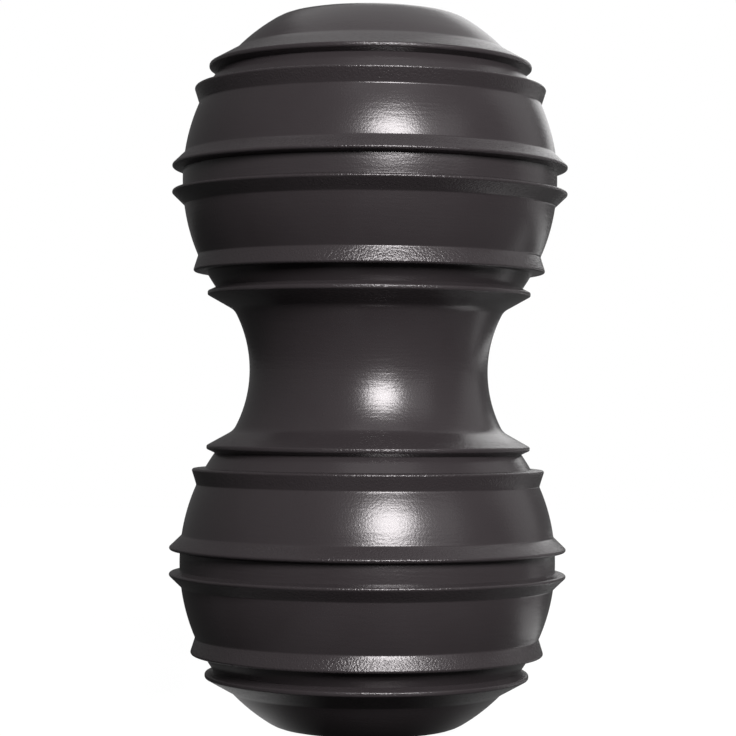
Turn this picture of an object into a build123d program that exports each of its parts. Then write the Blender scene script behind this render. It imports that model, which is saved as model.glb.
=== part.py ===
from build123d import *
import math
import os

# Rubber chew toy: two ribbed, ball-shaped lobes on a slim waist, standing on its lower end.
# The toy is one rubber moulding. It is drawn as the three stretches that move against each other
# when the toy is bent. They meet face to face on two level seams, above and below the waist.

# Main sizes, in millimetres
lobe_radius = 27.5  # ball that the smooth bands and the groove floors lie on
waist_length = 17.6  # from crease to crease, where the hollow sides turn outwards to the ribs
waist_hollow = 2.3  # how far its sides sink in from the creases, half way up the toy
end_rim_radius = 12.9  # where the flat end cuts the ball, before its edge is rounded
end_edge = 1.5  # how far the rounded edge of a flat end reaches in from that rim
bore_radius = 6.0  # rope hole, right through along the axis
bore_rounding = 1.0  # at the two mouths of the rope hole

# Ribs and grooves: each groove runs between two ribs, one groove at a lobe's equator
# and one above and below it. Widths are in millimetres along the ball.
equator_rib_height = 1.95  # of a pointed rib's tip beside the equator, before it is rounded
near_rib_height = 1.75  # the same for the pointed ribs next to the blunt ones
blunt_rib_height = 1.45  # of the blunt ribs next to the ends and the waist
blunt_edge = 0.6  # thickness of a blunt rib at its outer edge, along the axis
rib_tip_rounding = 0.35
equator_groove_opening = 3.25  # from rib tip to rib tip
side_groove_opening = 3.55  # from the pointed rib's tip to the middle of the blunt rib's edge
side_groove_latitude = 31.3  # degrees from the lobe's equator to the middle of a side groove
equator_wall_run = 0.3  # how far a wall of the equator's groove leans, from tip to floor
side_wall_run = 1.0  # the same for a side groove's wall nearer to the equator, square to the axis
equator_flank = 2.2  # outer slope of the ribs beside the equator, which ends on a smooth band
near_flank = 1.8  # slope of the next ribs towards the same band
long_flank = 4.3  # outer slope of the blunt ribs, which ends on an end dome or at a crease
crease_share = 0.15  # how much of that slope the rounding of a crease takes up
seam_share = 0.55  # how far along that slope, from the crease, a seam lies


def latitude_span(width):
    """Degrees of latitude that a width along the ball takes up."""
    return math.degrees(width / lobe_radius)


def from_centre(latitude, rise=0.0):
    """Point of a lobe's half section, as distance from the axis and height above the lobe's centre."""
    angle = math.radians(latitude)
    reach = lobe_radius + rise
    return (reach * math.cos(angle), reach * math.sin(angle))


# The three ribs between a lobe's equator and its end, each as the corners of its section
equator_tip = latitude_span(equator_groove_opening) / 2
near_tip = side_groove_latitude - latitude_span(side_groove_opening) / 2
blunt_tip = side_groove_latitude + latitude_span(side_groove_opening) / 2
crease_latitude = blunt_tip + latitude_span(long_flank)
equator_rib = [
    from_centre(equator_tip - latitude_span(equator_wall_run)),
    from_centre(equator_tip, equator_rib_height),
    from_centre(equator_tip + latitude_span(equator_flank)),
]
near_rib = [
    from_centre(near_tip - latitude_span(near_flank)),
    from_centre(near_tip, near_rib_height),
    from_centre(near_tip + latitude_span(side_wall_run)),
]
blunt_reach, blunt_height = from_centre(blunt_tip, blunt_rib_height)
blunt_rib = [
    from_centre(blunt_tip),
    (blunt_reach, blunt_height - blunt_edge / 2),
    (blunt_reach, blunt_height + blunt_edge / 2),
    from_centre(crease_latitude),
]
end_side_ribs = [equator_rib, near_rib, blunt_rib]
waist_side_ribs = [[(x, -y) for x, y in reversed(rib)] for rib in reversed(end_side_ribs)]

# The slope from a crease out to its rib, and the seam part of the way along it
crease_radius, crease_drop = from_centre(crease_latitude)
slope_reach = blunt_reach - crease_radius
slope_rise = crease_drop - blunt_height - blunt_edge / 2
seam_radius = crease_radius + seam_share * slope_reach
seam_drop = crease_drop - seam_share * slope_rise

# The waist's hollow side, and the rounding that leads from it into the slope
waist_radius = crease_radius - waist_hollow
hollow_radius = ((waist_length / 2) ** 2 + waist_hollow**2) / (2 * waist_hollow)
crease_turn = math.atan2(slope_reach, slope_rise) - math.asin(waist_length / 2 / hollow_radius)
crease_edge = crease_share * math.hypot(slope_reach, slope_rise)
crease_sweep = 2 * hollow_radius * math.sin(crease_turn) - crease_edge
crease_rounding = crease_edge * crease_sweep / (2 * hollow_radius * (1 - math.cos(crease_turn)))

# Heights above the lower end
end_height = math.sqrt(lobe_radius**2 - end_rim_radius**2)  # lobe centre to flat end
end_rounding = end_edge * (2 * end_rim_radius - end_edge) / (2 * (lobe_radius - end_height))
lower_seam = end_height + seam_drop
lower_crease = end_height + crease_drop
upper_crease = lower_crease + waist_length
middle = lower_crease + waist_length / 2
upper_centre = upper_crease + crease_drop
upper_seam = upper_centre - seam_drop

# The ribs of an upper lobe from the seam to the end: the first one starts part of the way up its slope
ribs = [[(seam_radius, -seam_drop)] + waist_side_ribs[0][1:]] + waist_side_ribs[1:] + end_side_ribs


def band(start, finish):
    """Arc along the ball from one point to another."""
    halfway = (Vector(start) + Vector(finish)).normalized() * lobe_radius
    return ThreePointArc(start, halfway, finish)


def is_rib_corner(vertex):
    """Whether a corner of a lobe's half section stands clear of the ball and of the seam."""
    off_ball = math.hypot(vertex.X, vertex.Y) > lobe_radius + rib_tip_rounding
    return off_ball and vertex.X > seam_radius + rib_tip_rounding


def is_crease(vertex):
    """Whether a corner of the waist's half section lies at one of its two creases."""
    return bore_radius < vertex.X < seam_radius - rib_tip_rounding


os.makedirs("parts", exist_ok=True)

# Upper lobe: ribbed ball from the upper seam to the upper end, with its stretch of the rope hole
with BuildPart() as upper_lobe:
    with BuildSketch(Plane((0, 0, upper_centre), x_dir=(1, 0, 0), z_dir=(0, -1, 0))):
        with BuildLine():
            for rib in ribs:
                Polyline(*rib)
            for rib, next_rib in zip(ribs, ribs[1:]):
                band(rib[-1], next_rib[0])
            band(ribs[-1][-1], (end_rim_radius, end_height))
            Polyline(
                (end_rim_radius, end_height),
                (bore_radius, end_height),
                (bore_radius, -seam_drop),
                (seam_radius, -seam_drop),
            )
        make_face()
        fillet(vertices().filter_by(is_rib_corner), radius=rib_tip_rounding)
        fillet(vertices().group_by(Axis.Y)[-1].sort_by(Axis.X)[-1], radius=end_rounding)
        fillet(vertices().group_by(Axis.Y)[-1].sort_by(Axis.X)[0], radius=bore_rounding)
    revolve(axis=Axis.Z)
upper_lobe.part.label = "upper_lobe"
export_step(upper_lobe.part, "parts/upper_lobe.step")

# Lower lobe: the same ribbed ball, turned over
with BuildPart() as lower_lobe:
    mirror(upper_lobe.part, about=Plane.XY.offset(middle))
lower_lobe.part.label = "lower_lobe"
export_step(lower_lobe.part, "parts/lower_lobe.step")

# Waist: hollow-sided neck between the two seams, with its stretch of the rope hole
with BuildPart() as waist:
    with BuildSketch(Plane.XZ):
        with BuildLine():
            ThreePointArc(
                (crease_radius, lower_crease),
                (waist_radius, middle),
                (crease_radius, upper_crease),
            )
            Polyline(
                (crease_radius, upper_crease),
                (seam_radius, upper_seam),
                (bore_radius, upper_seam),
                (bore_radius, lower_seam),
                (seam_radius, lower_seam),
                (crease_radius, lower_crease),
            )
        make_face()
        fillet(vertices().filter_by(is_crease), radius=crease_rounding)
    revolve(axis=Axis.Z)
waist.part.label = "waist"
export_step(waist.part, "parts/waist.step")
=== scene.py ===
import math

import bpy
import numpy as np
from mathutils import Matrix, Vector


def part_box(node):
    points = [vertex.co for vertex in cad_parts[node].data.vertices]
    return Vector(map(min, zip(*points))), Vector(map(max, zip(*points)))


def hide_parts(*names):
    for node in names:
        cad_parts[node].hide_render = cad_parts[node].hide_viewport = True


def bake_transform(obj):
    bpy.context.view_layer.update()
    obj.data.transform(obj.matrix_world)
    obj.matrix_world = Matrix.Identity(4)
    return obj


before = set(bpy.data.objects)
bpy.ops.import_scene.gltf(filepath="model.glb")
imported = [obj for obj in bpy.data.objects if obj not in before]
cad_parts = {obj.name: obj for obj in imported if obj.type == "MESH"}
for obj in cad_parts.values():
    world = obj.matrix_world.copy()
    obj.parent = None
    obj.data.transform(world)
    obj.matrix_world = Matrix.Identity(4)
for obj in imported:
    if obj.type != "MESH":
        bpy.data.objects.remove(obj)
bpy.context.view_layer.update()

# Rubber chew toy: one unbroken rubber skin over the three solids, standing in a white studio.
# Lengths are in metres, and a brightness of 1 is that of white paper.

# Sizes of the moulding, as the solids have them
MM = 0.001
LOBE_RADIUS = 27.5 * MM  # ball that the smooth bands and the groove floors lie on
WAIST_LENGTH = 17.6 * MM  # from crease to crease, where the hollow sides turn outwards to the ribs
WAIST_HOLLOW = 2.3 * MM  # how far its sides sink in from the creases, half way up the toy
END_RIM_RADIUS = 12.9 * MM  # where a flat end cuts the ball, before its edge is rounded
END_EDGE = 1.5 * MM  # how far the rounded edge reaches in from that rim
BORE_RADIUS = 6.0 * MM
BORE_ROUNDING = 1.0 * MM
EQUATOR_RIB_HEIGHT = 1.95 * MM  # of the pointed ribs beside a lobe's equator
NEAR_RIB_HEIGHT = 1.75 * MM  # of the pointed ribs next to the blunt ones
BLUNT_RIB_HEIGHT = 1.45 * MM  # of the blunt ribs next to the ends and the waist
BLUNT_EDGE = 0.6 * MM  # thickness of a blunt rib at its outer edge
TIP_ROUNDING = 0.35 * MM
EQUATOR_GROOVE_OPENING = 3.25 * MM  # from rib to rib, along the ball
SIDE_GROOVE_OPENING = 3.55 * MM
SIDE_GROOVE_LATITUDE = 31.3  # degrees from a lobe's equator to the middle of a side groove
EQUATOR_WALL_RUN = 0.3 * MM  # how far a wall of the equator's groove leans
SIDE_WALL_RUN = 1.0 * MM
EQUATOR_FLANK = 2.2 * MM  # outer slope of the ribs beside the equator
NEAR_FLANK = 1.8 * MM
LONG_FLANK = 4.3 * MM  # outer slope of the blunt ribs
CREASE_SHARE = 0.15  # how much of that slope the rounding of a crease takes up

# Places, from the frame and those sizes
upper_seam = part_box("waist")[1].z
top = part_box("upper_lobe")[1].z
middle = top / 2
end_height = math.sqrt(LOBE_RADIUS**2 - END_RIM_RADIUS**2)
end_rounding = END_EDGE * (2 * END_RIM_RADIUS - END_EDGE) / (2 * (LOBE_RADIUS - end_height))
upper_centre = top - end_height

# Roundings at the feet of the slopes, which the solids leave sharp
BAND_ROUNDING = 0.4 * MM
DOME_ROUNDING = 1.5 * MM
UNROUNDED = 0.0

# How finely the surface is drawn, and how deep its slight hollows are on average
LONGEST_GAP = 0.8 * MM
SHARPEST_TURN = math.radians(8)
SHARP_CORNER = math.radians(30)
COLUMNS = 160
UNEVENNESS = 0.03 * MM

WHITE = (1, 1, 1, 1)


def latitude_span(width):
    """Degrees of latitude that a width along the ball takes up."""
    return math.degrees(width / LOBE_RADIUS)


def from_centre(latitude, rise=0.0):
    """Point of a lobe's half section: its distance from the axis and height above the lobe's centre."""
    angle = math.radians(latitude)
    reach = LOBE_RADIUS + rise
    return np.array([reach * math.cos(angle), reach * math.sin(angle)])


def upper_ribs():
    """Corners of each rib's section on the upper lobe, from the waist to the end."""
    equator_tip = latitude_span(EQUATOR_GROOVE_OPENING) / 2
    near_tip = SIDE_GROOVE_LATITUDE - latitude_span(SIDE_GROOVE_OPENING) / 2
    blunt_tip = SIDE_GROOVE_LATITUDE + latitude_span(SIDE_GROOVE_OPENING) / 2
    equator_rib = [
        from_centre(equator_tip - latitude_span(EQUATOR_WALL_RUN)),
        from_centre(equator_tip, EQUATOR_RIB_HEIGHT),
        from_centre(equator_tip + latitude_span(EQUATOR_FLANK)),
    ]
    near_rib = [
        from_centre(near_tip - latitude_span(NEAR_FLANK)),
        from_centre(near_tip, NEAR_RIB_HEIGHT),
        from_centre(near_tip + latitude_span(SIDE_WALL_RUN)),
    ]
    half_edge = np.array([0.0, BLUNT_EDGE / 2])
    blunt_rib = [
        from_centre(blunt_tip),
        from_centre(blunt_tip, BLUNT_RIB_HEIGHT) - half_edge,
        from_centre(blunt_tip, BLUNT_RIB_HEIGHT) + half_edge,
        from_centre(blunt_tip + latitude_span(LONG_FLANK)),
    ]
    end_side = [equator_rib, near_rib, blunt_rib]
    waist_side = [[corner * (1, -1) for corner in reversed(rib)] for rib in reversed(end_side)]
    return waist_side + end_side


def heading(step):
    """Angle of a step in the section, in radians."""
    return math.atan2(step[1], step[0])


def line(start, finish):
    """Points from start towards finish, which is left out."""
    count = math.ceil(np.linalg.norm(finish - start) / LONGEST_GAP)
    share = np.arange(count)[:, None] / count
    return start + share * (finish - start)


def arc(centre, radius, start, finish):
    """Points along the shorter arc between two angles in radians. The last is left out."""
    sweep = (finish - start + math.pi) % (2 * math.pi) - math.pi
    steps = max(abs(sweep) / SHARPEST_TURN, abs(sweep) * radius / LONGEST_GAP)
    count = 0 if radius == UNROUNDED else math.ceil(steps)
    angles = start + sweep * np.arange(count) / max(count, 1)
    return np.array(centre) + radius * np.stack([np.cos(angles), np.sin(angles)], axis=1)


def tip_outline(start, corners, finish):
    """Straight runs from start to finish through a rib's outer corners, which are rounded."""
    runs = []
    for corner, after in zip(corners, corners[1:] + [finish]):
        back = (start - corner) / np.linalg.norm(start - corner)
        onward = (after - corner) / np.linalg.norm(after - corner)
        half_angle = math.acos(float(back @ onward)) / 2
        inward = (back + onward) / np.linalg.norm(back + onward)
        centre = corner + inward * TIP_ROUNDING / math.sin(half_angle)
        edge = TIP_ROUNDING / math.tan(half_angle)
        first = corner + edge * back
        last = corner + edge * onward
        runs.append(line(start, first))
        runs.append(arc(centre, TIP_ROUNDING, heading(first - centre), heading(last - centre)))
        start = last
    return np.concatenate([*runs, line(start, finish)])


def foot(corner, toward, rounding):
    """Centre of the rounding between a rib's slope and the ball, and where it meets the slope."""
    along = (toward - corner) / np.linalg.norm(toward - corner)
    outward = np.array([-along[1], along[0]])
    raised = corner + rounding * math.copysign(1, outward @ corner) * outward
    reach = raised @ along
    shift = math.sqrt(reach**2 - raised @ raised + (LOBE_RADIUS + rounding) ** 2) - reach
    return raised + shift * along, corner + shift * along


def waist_side(crease, slope):
    """Section of the waist from its middle to a crease, and the rounding into the rib's slope."""
    half_length = WAIST_LENGTH / 2
    bow = (half_length**2 + WAIST_HOLLOW**2) / (2 * WAIST_HOLLOW)
    hollow_centre = np.array([crease[0] - WAIST_HOLLOW + bow, middle])
    turn = math.atan2(slope[0], slope[1]) - math.asin(half_length / bow)
    edge = CREASE_SHARE * np.linalg.norm(slope)
    rounding = edge * (2 * bow * math.sin(turn) - edge) / (2 * bow * (1 - math.cos(turn)))
    along = slope / np.linalg.norm(slope)
    inward = np.array([along[1], -along[0]])
    centre = crease + edge * along + rounding * inward
    start = heading(centre - hollow_centre)
    return [arc(hollow_centre, bow, math.pi, start), arc(centre, rounding, start, heading(-inward))]


def upper_half_section():
    """Half section from the waist's middle, over the lobe and its end, to the middle of the bore."""
    lobe_middle = np.array([0.0, upper_centre])
    ribs = upper_ribs()
    slope = ribs[0][1] - ribs[0][0]
    runs = waist_side(lobe_middle + ribs[0][0], slope)

    # Over each rib and along what follows it: a groove with sharp corners, or a smooth band
    start = ribs[0][0] + CREASE_SHARE * slope
    roundings = [UNROUNDED, BAND_ROUNDING, UNROUNDED, BAND_ROUNDING, UNROUNDED]
    for rib, next_rib, rounding in zip(ribs, ribs[1:], roundings):
        centre, leave = foot(rib[-1], rib[-2], rounding)
        next_centre, arrive = foot(next_rib[0], next_rib[1], rounding)
        runs.append(lobe_middle + tip_outline(start, rib[1:-1], leave))
        runs.append(arc(lobe_middle + centre, rounding, heading(leave - centre), heading(-centre)))
        runs.append(arc(lobe_middle, LOBE_RADIUS, heading(centre), heading(next_centre)))
        last_angle = heading(arrive - next_centre)
        runs.append(arc(lobe_middle + next_centre, rounding, heading(-next_centre), last_angle))
        start = arrive

    # Over the last rib and the dome to the rounded edge of the flat end
    flat_reach = END_RIM_RADIUS - END_EDGE
    edge_angle = heading((flat_reach, end_height - end_rounding))
    centre, leave = foot(ribs[-1][-1], ribs[-1][-2], DOME_ROUNDING)
    runs.append(lobe_middle + tip_outline(start, ribs[-1][1:-1], leave))
    runs.append(arc(lobe_middle + centre, DOME_ROUNDING, heading(leave - centre), heading(-centre)))
    runs.append(arc(lobe_middle, LOBE_RADIUS, heading(centre), edge_angle))
    runs.append(arc((flat_reach, top - end_rounding), end_rounding, edge_angle, math.pi / 2))

    # Across the flat end and down the bore
    mouth_reach = BORE_RADIUS + BORE_ROUNDING
    runs.append(line(np.array([flat_reach, top]), np.array([mouth_reach, top])))
    runs.append(arc((mouth_reach, top - BORE_ROUNDING), BORE_ROUNDING, math.pi / 2, math.pi))
    runs.append(line(np.array([BORE_RADIUS, top - BORE_ROUNDING]), np.array([BORE_RADIUS, middle])))
    return np.concatenate(runs)


def unevenness(section, angles):
    """Slight hollows of a moulded surface: a depth at every point of the section and every column."""
    waves = 30
    most_around = 11
    shortest_mm = 9
    longest_mm = 45
    calm = 3  # divides the waves' height
    seed = 4
    random = np.random.default_rng(seed)
    along_mm = section[:, 1] / MM
    depth = np.zeros((len(section), len(angles)))
    for _ in range(waves):
        around_count = int(random.integers(1, most_around + 1))
        wavelength = random.uniform(shortest_mm, longest_mm)
        phase = random.uniform(0, 2 * math.pi)
        along = 2 * math.pi * along_mm[:, None] / wavelength
        depth += np.sin(around_count * angles[None, :] + along + phase)
    return UNEVENNESS * (1 + depth / waves**0.5 / calm)


def rib_share(section):
    """For every point of the section, 0 on the bands, the waist and the ends, and 1 on the ribs."""
    full_rise = 0.5 * MM
    from_middle = np.abs(section[:, 1] - middle)
    rise = np.hypot(section[:, 0], from_middle - (upper_centre - middle)) - LOBE_RADIUS
    return np.where(from_middle < upper_seam - middle, 0.0, np.clip(rise / full_rise, 0, 1))


def revolved(name, section):
    """Mesh of a closed section turned about the toy's axis."""
    angles = 2 * math.pi * np.arange(COLUMNS) / COLUMNS
    ahead = np.roll(section, -1, axis=0) - np.roll(section, 1, axis=0)
    outward = np.stack([ahead[:, 1], -ahead[:, 0]], axis=1) / np.linalg.norm(ahead, axis=1)[:, None]
    depth = np.clip(unevenness(section, angles), 0, None)
    reach = section[:, :1] - depth * outward[:, :1]
    height = section[:, 1:] - depth * outward[:, 1:]
    points = np.stack([reach * np.cos(angles), reach * np.sin(angles), height], axis=2)

    row = np.arange(len(section))[:, None] * COLUMNS
    column = np.arange(COLUMNS)[None, :]
    next_row = np.roll(row, -1, axis=0)
    next_column = np.roll(column, -1, axis=1)
    corners = [row + column, row + next_column, next_row + next_column, next_row + column]
    faces = np.stack(corners, axis=2)

    mesh = bpy.data.meshes.new(name)
    mesh.from_pydata(points.reshape(-1, 3).tolist(), [], faces.reshape(-1, 4).tolist())
    mesh.shade_smooth()
    mesh.set_sharp_from_angle(angle=SHARP_CORNER)
    on_rib = mesh.attributes.new("on_rib", "FLOAT", "POINT")
    on_rib.data.foreach_set("value", np.repeat(rib_share(section), COLUMNS))
    piece = bpy.data.objects.new(name, mesh)
    bpy.context.scene.collection.objects.link(piece)
    return piece


def new_material(name):
    """New material with shader nodes."""
    material = bpy.data.materials.new(name)
    material.use_nodes = True
    return material


def adjust(tree, node, **settings):
    """Sets or links the input sockets that the settings are named after, and sets the rest on the node."""
    for name, value in settings.items():
        socket = node.inputs.get(name.replace("_", " "))
        if socket is None:
            setattr(node, name, value)
        elif hasattr(value, "is_output"):
            tree.links.new(value, socket)
        else:
            socket.default_value = value


def add_node(tree, kind, **settings):
    """New shader node with its settings."""
    node = tree.nodes.new(kind)
    adjust(tree, node, **settings)
    return node


def mapped(tree, value, levels, span=(0, 1), course="LINEAR"):
    """Run from one level to another while a value goes through a span."""
    settings = {"From_Min": span[0], "From_Max": span[1], "To_Min": levels[0], "To_Max": levels[1]}
    node = add_node(tree, "ShaderNodeMapRange", interpolation_type=course, Value=value, **settings)
    return node.outputs["Result"]


def black_rubber():
    """Satin black rubber with a fine grain and faint turning lines from the mould."""
    darker = (0.0275, 0.0225, 0.0245, 1)
    paler = (0.0345, 0.0295, 0.0315, 1)
    gloss_tint = (1.0, 0.955, 0.97, 1)
    glossier = 0.22
    duller = 0.28
    line_stretch = (250.0, 250.0, 2200.0)  # closer together along the axis than around it
    line_depth = 0.018 * MM
    grain_depth = 0.08 * MM
    grain_off_ribs = 0.22  # share of the grain that the bands, the waist and the ends have
    material = new_material("black_rubber")
    tree = material.node_tree
    place = add_node(tree, "ShaderNodeTexCoord").outputs["Object"]

    cloud = add_node(tree, "ShaderNodeTexNoise", Vector=place, Scale=90.0, Detail=4.0, Roughness=0.6)
    patches = cloud.outputs["Fac"]
    tint = add_node(tree, "ShaderNodeMix", data_type="RGBA", A=darker, B=paler, Factor=patches)

    stretched = add_node(tree, "ShaderNodeMapping", Vector=place, Scale=line_stretch).outputs["Vector"]
    lines = add_node(tree, "ShaderNodeTexNoise", Vector=stretched, Scale=1.0, Detail=2.0)
    line_bump = add_node(tree, "ShaderNodeBump", Strength=1.0, Distance=line_depth)
    adjust(tree, line_bump, Height=lines.outputs["Fac"])

    grain = add_node(tree, "ShaderNodeTexNoise", Vector=place, Scale=3400.0, Detail=2.0, Roughness=0.6)
    on_rib = add_node(tree, "ShaderNodeAttribute", attribute_name="on_rib").outputs["Fac"]
    grain_share = mapped(tree, on_rib, (grain_off_ribs, 1.0))
    grain_bump = add_node(tree, "ShaderNodeBump", Strength=grain_share, Distance=grain_depth)
    adjust(tree, grain_bump, Height=grain.outputs["Fac"], Normal=line_bump.outputs["Normal"])

    shader = tree.nodes["Principled BSDF"]
    adjust(tree, shader, Base_Color=tint.outputs["Result"], IOR=1.5, Specular_Tint=gloss_tint)
    adjust(tree, shader, Roughness=mapped(tree, patches, (glossier, duller)))
    adjust(tree, shader, Normal=grain_bump.outputs["Normal"])
    return material


def direction(azimuth, elevation):
    """Unit vector from the toy. Azimuth 0 is towards the camera and 90 to its right."""
    turn = math.radians(azimuth)
    rise = math.radians(elevation)
    level = math.cos(rise)
    return Vector((math.sin(turn) * level, -math.cos(turn) * level, math.sin(rise)))


def facing_toy(azimuth, elevation, distance):
    """Place at a distance from the middle of the toy, with its -Z axis turned to the toy."""
    away = direction(azimuth, elevation)
    turn = (-away).to_track_quat("-Z", "Y").to_matrix().to_4x4()
    return Matrix.Translation(Vector((0, 0, middle)) + away * distance) @ turn


def softbox(name, place, width, height, brightness, shape="RECTANGLE", reflected=True):
    """Flat lamp that shines on the toy. Its place is an azimuth, an elevation and a distance."""
    lamp = bpy.data.lights.new(name, "AREA")
    lamp.shape = shape
    lamp.size = width
    lamp.size_y = height
    area = width * height * (math.pi / 4 if shape == "ELLIPSE" else 1)
    lamp.energy = brightness * math.pi * area
    box = bpy.data.objects.new(name, lamp)
    box.matrix_world = facing_toy(*place)
    box.visible_camera = False
    box.visible_glossy = reflected
    bpy.context.scene.collection.objects.link(box)


def studio_lamps():
    """Bright key lamp in front on the right, a lamp behind, and dim panels that the rubber reflects."""
    softbox("key_softbox", (14, 23.5, 0.9), width=0.41, height=0.36, brightness=31.0, shape="ELLIPSE")
    softbox("front_right_panel", (44, 22, 0.9), width=0.5, height=0.45, brightness=0.8)
    softbox("back_softbox", (180, 15, 0.9), width=0.6, height=0.4, brightness=6.0, reflected=False)
    softbox("front_top_panel", (14, 62, 0.9), width=0.65, height=0.3, brightness=0.7)
    softbox("right_panel", (115, 24, 0.8), width=0.45, height=0.65, brightness=0.45)
    softbox("right_back_panel", (162, 25, 0.8), width=0.46, height=0.42, brightness=1.4)
    softbox("top_panel", (162, 67, 0.8), width=0.9, height=0.75, brightness=0.5)


def stage_mesh(name, corners, material):
    """One flat face that belongs to the stage."""
    mesh = bpy.data.meshes.new(name)
    mesh.from_pydata(corners, [], [tuple(range(len(corners)))])
    mesh.materials.append(material)
    sheet = bpy.data.objects.new(name, mesh)
    bpy.context.scene.collection.objects.link(sheet)
    return sheet


def rectangle(left, right, front, back, height):
    """Corners of a level rectangle."""
    return [(left, front, height), (right, front, height), (right, back, height), (left, back, height)]


def glowing(name, brightness):
    """Material that glows evenly, for what the toy reflects."""
    material = new_material(name)
    tree = material.node_tree
    glow = add_node(tree, "ShaderNodeEmission", Color=WHITE, Strength=brightness)
    adjust(tree, tree.nodes["Material Output"], Surface=glow.outputs[0])
    return material


def floor_glow_sheet_material():
    """Glow of the floor sheet that the rubber reflects: almost black in front of the toy and under it, as
    painted shade, brighter beside it, as painted reflected light, and dim further out.
    """
    reach = 60 * MM
    # Painted reflected light beside the toy at 0.4 and 0.22, and painted shade under it at 0.05
    brightness_at_mm = {-34: 0.05, -24: 0.4, -15: 0.4, -6: 0.05, 6: 0.05, 15: 0.22, 25: 0.22, 40: 0.13}
    dark_edge = -17 * MM
    full_edge = -3 * MM
    front_share = 0.2
    material = glowing("floor_glow_sheet", 1.0)
    tree = material.node_tree
    place = add_node(tree, "ShaderNodeTexCoord").outputs["Object"]
    split = add_node(tree, "ShaderNodeSeparateXYZ", Vector=place)

    across = mapped(tree, split.outputs["X"], (0, 1), span=(-reach, reach))
    shade = add_node(tree, "ShaderNodeValToRGB", Fac=across)
    stops = shade.color_ramp.elements
    for across_mm, brightness in brightness_at_mm.items():
        stop = stops.new((across_mm * MM + reach) / (2 * reach))
        stop.color = (brightness, brightness, brightness, 1)
    stops.remove(stops[-1])
    stops.remove(stops[0])

    # Painted shade in front of the toy: there the glow drops to a fifth
    front_to_back = split.outputs["Y"]
    share = mapped(tree, front_to_back, (front_share, 1.0), (dark_edge, full_edge), "SMOOTHSTEP")
    adjust(tree, tree.nodes["Emission"], Color=shade.outputs["Color"], Strength=share)
    return material


def dim_studio():
    """Dim glowing walls and ceiling, and glowing sheets on the floor that paint shade and reflections on
    the rubber. The camera sees only their reflections.
    """
    side = 1.6
    ceiling_height = 1.8
    dim_brightness = 0.14
    glow_sheet_height = 0.1 * MM
    open_left = 330 * MM  # the glowing floor sheet leaves the floor bare behind the toy, far to the right
    open_front = 400 * MM
    card_height = 0.2 * MM
    # The card glows, as a painted reflection on the right side of the toy
    card_brightness = 0.9
    # The strip glows, as a painted reflection on the right side of the waist
    strip_brightness = 0.75
    strip_outline_mm = [(94, 71), (106, 39), (370, 134), (350, 186)]
    strip = [(x * MM, y * MM, card_height) for x, y in strip_outline_mm]
    card = rectangle(left=46 * MM, right=90 * MM, front=5 * MM, back=48 * MM, height=card_height)
    # Outline of the glowing floor sheet, whose glow is painted shade and painted reflected light
    glow_sheet = [
        (-side, -side, glow_sheet_height),
        (side, -side, glow_sheet_height),
        (side, open_front, glow_sheet_height),
        (open_left, open_front, glow_sheet_height),
        (open_left, side, glow_sheet_height),
        (-side, side, glow_sheet_height),
    ]

    # Walls and ceiling glow dimly, for the rubber to reflect
    dim = glowing("dim_glow_sheet", dim_brightness)
    ceiling = rectangle(-side, side, -side, side, ceiling_height)
    sheets = [stage_mesh("ceiling", ceiling, dim)]
    for index, corner in enumerate(ceiling):
        next_corner = ceiling[index - 1]
        wall = [(*corner[:2], 0), (*next_corner[:2], 0), next_corner, corner]
        sheets.append(stage_mesh(f"wall_{index}", wall, dim))
    # Sheets on the floor whose glow is painted shade and painted reflections on the rubber
    floor_sheets = [
        stage_mesh("floor_glow_sheet", glow_sheet, floor_glow_sheet_material()),
        stage_mesh("glowing_card", card, glowing("card_glow", card_brightness)),
        stage_mesh("floor_strip", strip, glowing("strip_glow", strip_brightness)),
    ]
    for sheet in sheets + floor_sheets:
        sheet.visible_camera = False
    for sheet in floor_sheets:
        sheet.visible_shadow = False


def seen_as_white(tree):
    """1 for rays from the camera and for rays that a surface reflects or lets through, or else 0."""
    light_path = add_node(tree, "ShaderNodeLightPath")
    seen = light_path.outputs["Is Camera Ray"]
    for kind in ("Is Glossy Ray", "Is Transmission Ray"):
        either = add_node(tree, "ShaderNodeMath", operation="MAXIMUM")
        tree.links.new(seen, either.inputs[0])
        tree.links.new(light_path.outputs[kind], either.inputs[1])
        seen = either.outputs[0]
    return seen


def white_surround():
    """White world behind the toy, and a dimmer one for the light that it throws on the toy."""
    thrown_brightness = 0.4
    world = bpy.data.worlds.new("white_surround")
    bpy.context.scene.world = world
    world.use_nodes = True
    tree = world.node_tree
    brightness = mapped(tree, seen_as_white(tree), (thrown_brightness, 1.0))
    adjust(tree, tree.nodes["Background"], Color=WHITE, Strength=brightness)


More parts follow.
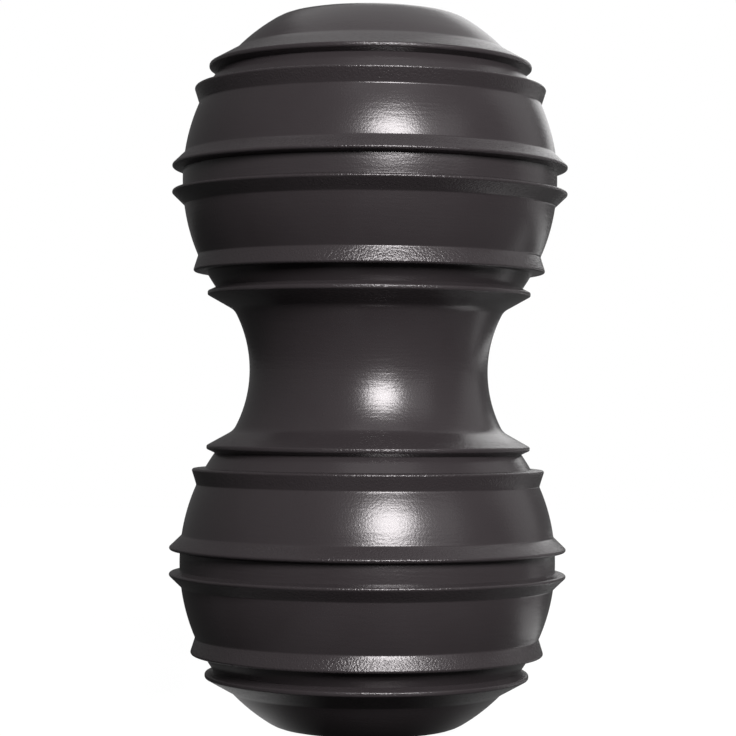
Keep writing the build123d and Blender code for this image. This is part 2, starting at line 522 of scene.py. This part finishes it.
def pale_floor():
    """Pale floor under the toy that keeps a faint shadow."""
    half_side = 0.7
    pale = (0.9, 0.9, 0.9, 1)
    glow_brightness = 1.05
    glow_share = 0.93  # the rest is lit by the lamps, and keeps the shadow
    material = new_material("pale_floor")
    tree = material.node_tree
    paper = tree.nodes["Principled BSDF"]
    adjust(tree, paper, Base_Color=pale, Roughness=1.0, Specular_IOR_Level=0.0)
    glow = add_node(tree, "ShaderNodeEmission", Color=WHITE, Strength=glow_brightness)
    share = mapped(tree, seen_as_white(tree), (0, glow_share))
    mix = add_node(tree, "ShaderNodeMixShader")
    tree.links.new(share, mix.inputs[0])
    tree.links.new(paper.outputs[0], mix.inputs[1])
    tree.links.new(glow.outputs[0], mix.inputs[2])
    adjust(tree, tree.nodes["Material Output"], Surface=mix.outputs[0])
    stage_mesh("floor", rectangle(-half_side, half_side, -half_side, half_side, 0), material)


def add_camera():
    """Camera at the photograph's place: a little below the toy's middle, looking up by about a degree."""
    picture_pixels = 736
    focal_pixels = 2292
    distance = 0.3367
    drop = 5.2 * MM
    tilt_up = math.radians(0.96)
    yaw = math.radians(0.015)
    roll = math.radians(0.4)
    camera = bpy.data.cameras.new("camera")
    camera.sensor_width = 36.0
    camera.lens = camera.sensor_width * focal_pixels / picture_pixels
    holder = bpy.data.objects.new("camera", camera)
    aim = Matrix.Rotation(yaw, 4, "Z") @ Matrix.Rotation(math.pi / 2 + tilt_up, 4, "X")
    turn = aim @ Matrix.Rotation(roll, 4, "Z")
    holder.matrix_world = Matrix.Translation((0, -distance, middle - drop)) @ turn
    bpy.context.scene.collection.objects.link(holder)
    bpy.context.scene.camera = holder


# The toy
upper = upper_half_section()
lower = (upper * (1, -1) + (0, 2 * middle))[::-1]
rubber_body = revolved("rubber_body", np.concatenate([upper, lower]))
rubber_body.data.materials.append(black_rubber())
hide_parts("lower_lobe", "waist", "upper_lobe")
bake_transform(rubber_body)

# The studio
white_surround()
pale_floor()
dim_studio()
studio_lamps()
add_camera()
bpy.context.scene.view_settings.view_transform = "Standard"
